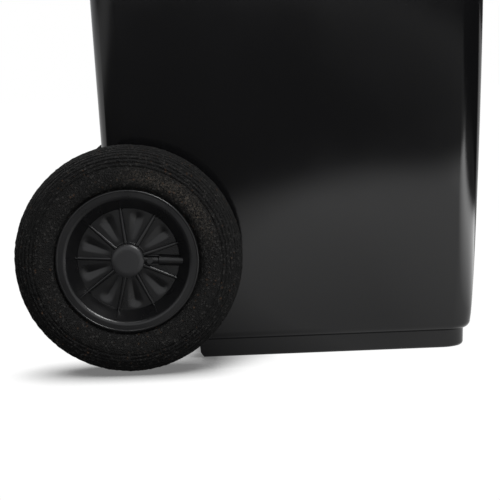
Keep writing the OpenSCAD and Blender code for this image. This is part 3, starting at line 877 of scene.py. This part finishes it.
def polyethylene(name, colour, scuffed, roughness):
    """High-density polyethylene, injection moulded and glossy, with faint sink waves, scuffs and dust."""
    haze_size, scratch_w, speck_size = 60 * MM, 1.2 * MM, 1.5 * MM
    sink_size, sink_deep, grain_size, grain_deep = 170 * MM, 1.2 * MM, 0.9 * MM, 0.012 * MM
    material, tree, where = new_tree(name)
    haze = add(tree, "TexNoise", {"Vector": where, "Scale": 1 / haze_size, "Detail": 4.0, "Roughness": 0.6})
    upright = add(tree, "Mapping", {"Vector": where, "Scale": (1.0, 1.0, 0.06)})
    scratch = add(tree, "TexNoise", {"Vector": upright, "Scale": 1 / scratch_w, "Detail": 5.0,
                                     "Roughness": 0.7})
    scuff = add(tree, "MapRange", {"Value": scratch, "From Min": 0.67, "From Max": 0.79})
    patch = add(tree, "MapRange", {"Value": haze, "From Min": 0.5, "From Max": 0.7, "To Max": 0.5})
    scuff = add(tree, "Math", {0: scuff, 1: patch}, operation="MULTIPLY")
    specks = add(tree, "TexNoise", {"Vector": where, "Scale": 1 / speck_size, "Detail": 2.0})
    dust = add(tree, "MapRange", {"Value": specks, "From Min": 0.74, "From Max": 0.8, "To Max": 0.35})
    marks = add(tree, "Math", {0: scuff, 1: dust}, operation="MAXIMUM")
    shade = add(tree, "Mix", {MIX_SHARE: marks, MIX_FIRST: linear(colour),
                              MIX_SECOND: linear(scuffed)}, data_type="RGBA")
    gloss = add(tree, "MapRange", {"Value": haze, "From Min": 0.3, "From Max": 0.7,
                                   "To Min": roughness - 0.015, "To Max": roughness + 0.02})
    gloss = add(tree, "Math", {0: marks, 1: 0.3, 2: gloss}, operation="MULTIPLY_ADD")
    sink = add(tree, "TexNoise", {"Vector": where, "Scale": 1 / sink_size, "Detail": 1.0})
    waves = add(tree, "Bump", {"Height": sink, "Distance": sink_deep})
    grain = add(tree, "TexNoise", {"Vector": where, "Scale": 1 / grain_size, "Detail": 2.0})
    skin = add(tree, "Bump", {"Height": grain, "Distance": grain_deep, "Normal": waves})
    shader = add(tree, "BsdfPrincipled", {"Base Color": shade, "Roughness": gloss,
                                          "Normal": skin, "IOR": 1.54})
    add(tree, "OutputMaterial", {"Surface": shader})
    return material


def polypropylene(name, colour, dusty, roughness):
    """Polypropylene, moulded with a satin skin: evenly grey in the light, with specks of road dust."""
    speck_size, cloud_size = 1.1 * MM, 25 * MM
    flow_size, flow_deep, grain_size, grain_deep = 9 * MM, 0.03 * MM, 0.5 * MM, 0.008 * MM
    material, tree, where = new_tree(name)
    specks = add(tree, "TexNoise", {"Vector": where, "Scale": 1 / speck_size, "Detail": 1.0})
    dust = add(tree, "MapRange", {"Value": specks, "From Min": 0.77, "From Max": 0.83, "To Max": 0.5})
    shade = add(tree, "Mix", {MIX_SHARE: dust, MIX_FIRST: linear(colour),
                              MIX_SECOND: linear(dusty)}, data_type="RGBA")
    cloud = add(tree, "TexNoise", {"Vector": where, "Scale": 1 / cloud_size, "Detail": 3.0})
    gloss = add(tree, "MapRange", {"Value": cloud, "From Min": 0.3, "From Max": 0.7,
                                   "To Min": roughness - 0.03, "To Max": roughness + 0.05})
    flow = add(tree, "TexNoise", {"Vector": where, "Scale": 1 / flow_size, "Detail": 2.0})
    waves = add(tree, "Bump", {"Height": flow, "Distance": flow_deep})
    grain = add(tree, "TexNoise", {"Vector": where, "Scale": 1 / grain_size, "Detail": 2.0})
    skin = add(tree, "Bump", {"Height": grain, "Distance": grain_deep, "Normal": waves})
    shader = add(tree, "BsdfPrincipled", {"Base Color": shade, "Roughness": gloss,
                                          "Normal": skin, "IOR": 1.49})
    add(tree, "OutputMaterial", {"Surface": shader})
    return material


def crumb_rubber(name):
    """Tyre rubber pressed from recycled crumb: matt black and speckled, with grit specks on its upper front
    that also paint a highlight where the key light falls.
    """
    crumb_size, crumb_deep, tone_size = 1.3 * MM, 0.5 * MM, 16 * MM
    pit_size, pit_deep, grit_size = 1.6 * MM, 1.6 * MM, 1.8 * MM
    material, tree, where = new_tree(name)
    cells = add(tree, "TexVoronoi", {"Vector": where, "Scale": 1 / crumb_size})
    chance = add(tree, "SeparateColor", {"Color": cells.outputs["Color"]})
    tone = add(tree, "TexNoise", {"Vector": where, "Scale": 1 / tone_size, "Detail": 5.0, "Roughness": 0.7})
    deep = add(tree, "MapRange", {"Value": tone, "From Min": 0.3, "From Max": 0.75})
    base = add(tree, "Mix", {MIX_SHARE: deep, MIX_FIRST: linear("#020202"),
                             MIX_SECOND: linear("#0a0a0a")}, data_type="RGBA")
    pale = add(tree, "MapRange", {"Value": chance.outputs["Red"], "From Min": 0.86,
                                  "From Max": 1.0, "To Max": 0.5})
    base = add(tree, "Mix", {MIX_SHARE: pale, MIX_FIRST: base, MIX_SECOND: linear("#3a3937")},
               data_type="RGBA")
    rust = add(tree, "MapRange", {"Value": chance.outputs["Green"], "From Min": 0.985,
                                  "From Max": 1.0, "To Max": 0.5})
    base = add(tree, "Mix", {MIX_SHARE: rust, MIX_FIRST: base, MIX_SECOND: linear("#523a26")},
               data_type="RGBA")
    # A band of lighter grit specks on the tyre's side, kept to the upper front: partly dust, partly a
    # painted highlight of the key light.
    arm = add(tree, "VectorMath", {0: where, 1: AXLE_M}, operation="SUBTRACT")
    arm = add(tree, "VectorMath", {0: arm, 1: (0, 1, 1)}, operation="MULTIPLY")
    radius = add(tree, "VectorMath", {0: arm}, operation="LENGTH").outputs["Value"]
    way = add(tree, "VectorMath", {0: arm}, operation="NORMALIZE")
    facing = add(tree, "VectorMath", {0: way, 1: GRIT_SHEEN_WAY}, operation="DOT_PRODUCT")
    inner = add(tree, "MapRange", {"Value": radius, "From Min": 65 * MM, "From Max": 72 * MM})
    outer = add(tree, "MapRange", {"Value": radius, "From Min": 75 * MM, "From Max": 84 * MM,
                                   "To Min": 1.0, "To Max": 0.0})
    band = add(tree, "Math", {0: inner, 1: outer}, operation="MULTIPLY")
    side = add(tree, "MapRange", {"Value": facing.outputs["Value"], "From Min": 0.7,
                                  "From Max": 1.0, "To Min": 0.08})
    band = add(tree, "Math", {0: band, 1: side}, operation="MULTIPLY")
    grains = add(tree, "TexNoise", {"Vector": where, "Scale": 1 / grit_size, "Detail": 4.0,
                                    "Roughness": 0.75})
    grit_and_sheen = add(tree, "MapRange", {"Value": grains, "From Min": 0.46, "From Max": 0.68})
    grit_and_sheen = add(tree, "Math", {0: band, 1: grit_and_sheen}, operation="MULTIPLY")
    shade = add(tree, "Mix", {MIX_SHARE: grit_and_sheen, MIX_FIRST: base, MIX_SECOND: linear("#4a443c")},
                data_type="RGBA")
    matt = add(tree, "MapRange", {"Value": tone, "From Min": 0.3, "From Max": 0.7,
                                  "To Min": 0.6, "To Max": 0.85})
    rough = add(tree, "TexNoise", {"Vector": where, "Scale": 1 / pit_size, "Detail": 4.0,
                                   "Roughness": 0.75})
    pits = add(tree, "Bump", {"Height": rough, "Distance": pit_deep})
    skin = add(tree, "Bump", {"Height": cells.outputs["Distance"], "Distance": crumb_deep, "Normal": pits})
    shader = add(tree, "BsdfPrincipled", {"Base Color": shade, "Roughness": matt,
                                          "Normal": skin, "IOR": 1.5,
                                          "Specular IOR Level": 0.22})
    add(tree, "OutputMaterial", {"Surface": shader})
    return material


def zinc_steel(name):
    """Bright zinc-plated steel bar: faint drawing lines and a slightly clouded plate."""
    cloud_size, line_w, line_deep = 18 * MM, 0.6 * MM, 0.02 * MM
    material, tree, where = new_tree(name)
    cloud = add(tree, "TexNoise", {"Vector": where, "Scale": 1 / cloud_size, "Detail": 4.0})
    shade = add(tree, "Mix", {MIX_SHARE: cloud, MIX_FIRST: linear("#9fa2a6"),
                              MIX_SECOND: linear("#c6c8cb")}, data_type="RGBA")
    gloss = add(tree, "MapRange", {"Value": cloud, "From Min": 0.3, "From Max": 0.7,
                                   "To Min": 0.24, "To Max": 0.42})
    along = add(tree, "Mapping", {"Vector": where, "Scale": (0.05, 1.0, 1.0)})
    drawn = add(tree, "TexNoise", {"Vector": along, "Scale": 1 / line_w, "Detail": 3.0})
    skin = add(tree, "Bump", {"Height": drawn, "Distance": line_deep})
    shader = add(tree, "BsdfPrincipled", {"Base Color": shade, "Roughness": gloss,
                                          "Normal": skin, "Metallic": 1.0})
    add(tree, "OutputMaterial", {"Surface": shader})
    return material


POOL_MIDDLE_M = put(-550, -850, 0)
POOL_R_M, POOL_FADE_M = 0.75, 0.14
POOL_BRIGHT, POOL_DIM = 0.86, 0.06
SHADOW_REACH_M = 0.055
SHADOW_OPEN, SHADOW_SHUT, SHADOW_DEEP = 0.9, 0.45, 0.85
SHADOW_START_M, SHADOW_FULL_M = AXLE_M.y - 0.13, AXLE_M.y - 0.07
SWEEP_WHITE = 1.02


def seen_sweep(tree, where):
    """What the camera sees: even white, with a soft shadow only where the wheels stand."""
    place = add(tree, "SeparateXYZ", {0: where})
    open_sky = add(tree, "AmbientOcclusion", {"Distance": SHADOW_REACH_M}, samples=16)
    shut = add(tree, "MapRange", {"Value": open_sky.outputs["AO"], "From Min": SHADOW_OPEN,
                                  "From Max": SHADOW_SHUT, "To Max": SHADOW_DEEP})
    by_wheel = add(tree, "MapRange", {"Value": place.outputs["Y"], "From Min": SHADOW_START_M,
                                      "From Max": SHADOW_FULL_M})
    shut = add(tree, "Math", {0: shut, 1: by_wheel}, operation="MULTIPLY")
    glow = add(tree, "Math", {0: SWEEP_WHITE, 1: shut}, operation="SUBTRACT")
    return add(tree, "Emission", {"Color": (1, 1, 1, 1), "Strength": glow})


def mirrored_sweep(tree, where):
    """What the glossy plastic mirrors: a lit pool beside the bin, and glows ahead of it and behind it."""
    place = add(tree, "SeparateXYZ", {0: where})
    along, across = place.outputs["Y"], place.outputs["X"]
    away = add(tree, "VectorMath", {0: where, 1: POOL_MIDDLE_M}, operation="DISTANCE")
    pool = add(tree, "MapRange", {"Value": away.outputs["Value"], "From Min": POOL_R_M,
                                  "From Max": POOL_R_M + POOL_FADE_M, "To Min": POOL_BRIGHT,
                                  "To Max": POOL_DIM})
    # The pool dims close to the bin's side, less so towards its front. Places here are in metres.
    close = add(tree, "MapRange", {"Value": along, "From Min": -0.12, "From Max": -0.3,
                                   "To Min": 0.6, "To Max": 1.0})
    shade = add(tree, "MapRange", {"Value": across, "From Min": -0.9, "From Max": -0.3,
                                   "To Min": 1.0, "To Max": close})
    # Ahead of the bin it grows brighter, which lights the front corner, and then ends.
    front = add(tree, "MapRange", {"Value": along, "From Min": -0.3, "From Max": -0.66,
                                   "To Min": 1.0, "To Max": 4.4})
    edge = add(tree, "MapRange", {"Value": along, "From Min": -0.78, "From Max": -0.95,
                                  "To Min": 1.0, "To Max": 0.04})
    for change in (shade, front, edge):
        pool = add(tree, "Math", {0: pool, 1: change}, operation="MULTIPLY")
    # A glow far to the rear, and one past the far side, light the rear corner.
    rear = add(tree, "MapRange", {"Value": along, "From Min": 3.0, "From Max": 4.2, "To Max": 0.5})
    slant = add(tree, "Math", {0: along, 1: 0.0}, operation="MINIMUM")
    slant = add(tree, "Math", {0: slant, 1: 0.25, 2: across}, operation="MULTIPLY_ADD")
    behind = add(tree, "MapRange", {"Value": slant, "From Min": 0.05, "From Max": 0.4, "To Max": 0.7})
    for glow in (rear, behind):
        pool = add(tree, "Math", {0: pool, 1: glow}, operation="MAXIMUM")
    return add(tree, "Emission", {"Color": (1, 1, 1, 1), "Strength": pool})


def sweep_finish(name):
    """A backlit white sweep that shows one light to the camera and another to the glossy plastic."""
    material, tree, where = new_tree(name)
    path = add(tree, "LightPath").outputs["Is Glossy Ray"]
    both = add(tree, "MixShader", {0: path, 1: seen_sweep(tree, where), 2: mirrored_sweep(tree, where)})
    add(tree, "OutputMaterial", {"Surface": both})
    return material


# ---------------- put the bin together

def dress(piece, body, material, nodes, angle=38, flat=True):
    """Gives a finished piece its shading, its finish and the body that it rides on, and hides the CAD nodes
    that it stands in for.
    """
    take(piece)
    bpy.ops.object.shade_smooth_by_angle(angle=math.radians(angle))
    if flat:
        modify(piece, "WEIGHTED_NORMAL", keep_sharp=True, weight=80)
    piece.data.materials.clear()
    piece.data.materials.append(material)
    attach(piece, body)
    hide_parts(*nodes)


def refinish(node, material):
    """Gives a CAD node that stays as it is a better finish."""
    cad = frame["nodes"][node]
    cad.data.materials.clear()
    cad.data.materials.append(material)


black_body = polyethylene("glossy_hdpe_body", "#0b0b0c", "#3a3a3c", 0.085)
black_lid = polyethylene("glossy_hdpe_lid", "#0b0b0c", "#3a3a3c", 0.11)
black_wheel = polypropylene("satin_polypropylene", "#0d0d0e", "#6d6558", 0.29)
# The hub cap is the wheel's own plastic drawn lighter grey, a painted sheen for the light on its raised
# face.
cap_plastic_painted_sheen = polypropylene("satin_polypropylene_cap_painted_sheen", "#1d1d1e", "#6d6558", 0.36)
black_small = polypropylene("satin_acetal", "#131314", "#57534c", 0.38)
zinc = zinc_steel("zinc_plated_steel")
rubber = crumb_rubber("crumb_rubber")

for piece in (make_tub(), make_comb_ribs(), make_nest(), *make_handle(), make_axle_brackets()):
    dress(piece, "bin", black_body, ["body"])
for piece in (make_lid(), make_grip(), make_lid_arms()):
    dress(piece, "lid", black_lid, ["lid"])

wheel_parts = (("rim", make_wheel_centre(), "wheel_plastic", black_wheel),
               ("tyre", make_tyre(), "tyre_rubber", rubber),
               ("hub_cap", make_hub_cap(), "wheel_plastic", cap_plastic_painted_sheen))
for side, word in ((LEFT, "left"), (RIGHT, "right")):
    for part, pattern, slot, finish in wheel_parts:
        piece = place_wheel_part(pattern, side, f"{part}_{word}_shape")
        dress(piece, f"wheel_{word}", finish, [f"{part}_{word}"], flat=part != "tyre")
    for node in ("lock_pin", "lock_plug", "hinge_pin", "axle_spacer"):
        refinish(f"{node}_{word}", black_small)
    refinish(f"lock_spring_{word}", zinc)
for _, pattern, _, _ in wheel_parts:
    bpy.data.objects.remove(pattern)
refinish("axle", zinc)
refinish("transponder_plug", black_small)


# ---------------- studio

FLOOR_SIZE_M = 30

clear_selection()
bpy.ops.mesh.primitive_plane_add(size=FLOOR_SIZE_M, location=(0, 0, 0))
floor = bpy.context.object
floor.name = "studio_floor"
floor.data.materials.append(sweep_finish("white_sweep"))


def softbox(name, place, aim, width, height, power):
    """A rectangular light at a place in metres, turned to face its aim."""
    light = bpy.data.lights.new(name, "AREA")
    light.shape = "RECTANGLE"
    light.size, light.size_y = width, height
    light.energy = power
    holder = bpy.data.objects.new(name, light)
    bpy.context.scene.collection.objects.link(holder)
    holder.location = place
    holder.rotation_euler = (Vector(aim) - Vector(place)).to_track_quat("-Z", "Y").to_euler()


softbox("key_above_front", (-1.0, -0.9, 2.0), (-0.2, 0.1, 0.1), 1.0, 0.8, 42)
softbox("overhead", (0.6, 0.6, 3.0), (0, 0, 0), 2.4, 2.4, 55)

def make_backdrop():
    """White to the camera, and to all else a dim room, lighter to the rear and on the near side."""
    world = bpy.data.worlds.new("studio")
    bpy.context.scene.world = world
    world.use_nodes = True
    tree = world.node_tree
    tree.nodes.clear()
    way = add(tree, "SeparateXYZ", {0: add(tree, "TexCoord").outputs["Generated"]})
    rear = add(tree, "Math", {0: way.outputs["Y"], 1: 0.5, 2: way.outputs["X"]}, operation="MULTIPLY_ADD")
    rear = add(tree, "MapRange", {"Value": rear, "From Min": 0.5, "From Max": 0.85,
                                  "To Min": 0.05, "To Max": 0.6})
    near = add(tree, "MapRange", {"Value": way.outputs["X"], "From Min": -0.3,
                                  "From Max": -0.8, "To Max": 0.9})
    room = add(tree, "Math", {0: rear, 1: near}, operation="MAXIMUM")
    mirrored = add(tree, "Background", {"Color": (0.97, 0.98, 1.0, 1), "Strength": room})
    white = add(tree, "Background", {"Color": (1, 1, 1, 1), "Strength": 1.0})
    path = add(tree, "LightPath").outputs["Is Camera Ray"]
    both = add(tree, "MixShader", {0: path, 1: mirrored, 2: white})
    add(tree, "OutputWorld", {"Surface": both})


CAMERA_FROM_AXLE = (-1500, -97.3, 258.8)
CAMERA_YAW, CAMERA_PITCH, CAMERA_ROLL = (math.radians(a) for a in (-0.401, 6.914, -2.246))
LENS, SENSOR_W = 106.28, 36
CLIP_END_M = 60


def place_camera():
    """A long lens at the bin's left side, a little above the wheel and looking slightly down."""
    camera = bpy.data.cameras.new("camera")
    camera.sensor_width = SENSOR_W
    camera.lens = LENS
    camera.clip_end = CLIP_END_M
    holder = bpy.data.objects.new("camera", camera)
    bpy.context.scene.collection.objects.link(holder)
    level_run = math.cos(CAMERA_PITCH)
    ahead = Vector((level_run * math.cos(CAMERA_YAW), level_run * math.sin(CAMERA_YAW),
                    -math.sin(CAMERA_PITCH)))
    level = ahead.to_track_quat("-Z", "Y").to_matrix().to_4x4()
    holder.matrix_world = (Matrix.Translation(put(*CAMERA_FROM_AXLE)) @ level
                           @ Matrix.Rotation(CAMERA_ROLL, 4, "Z"))
    bpy.context.scene.camera = holder
    bpy.context.scene.view_settings.view_transform = "Standard"


make_backdrop()
place_camera()
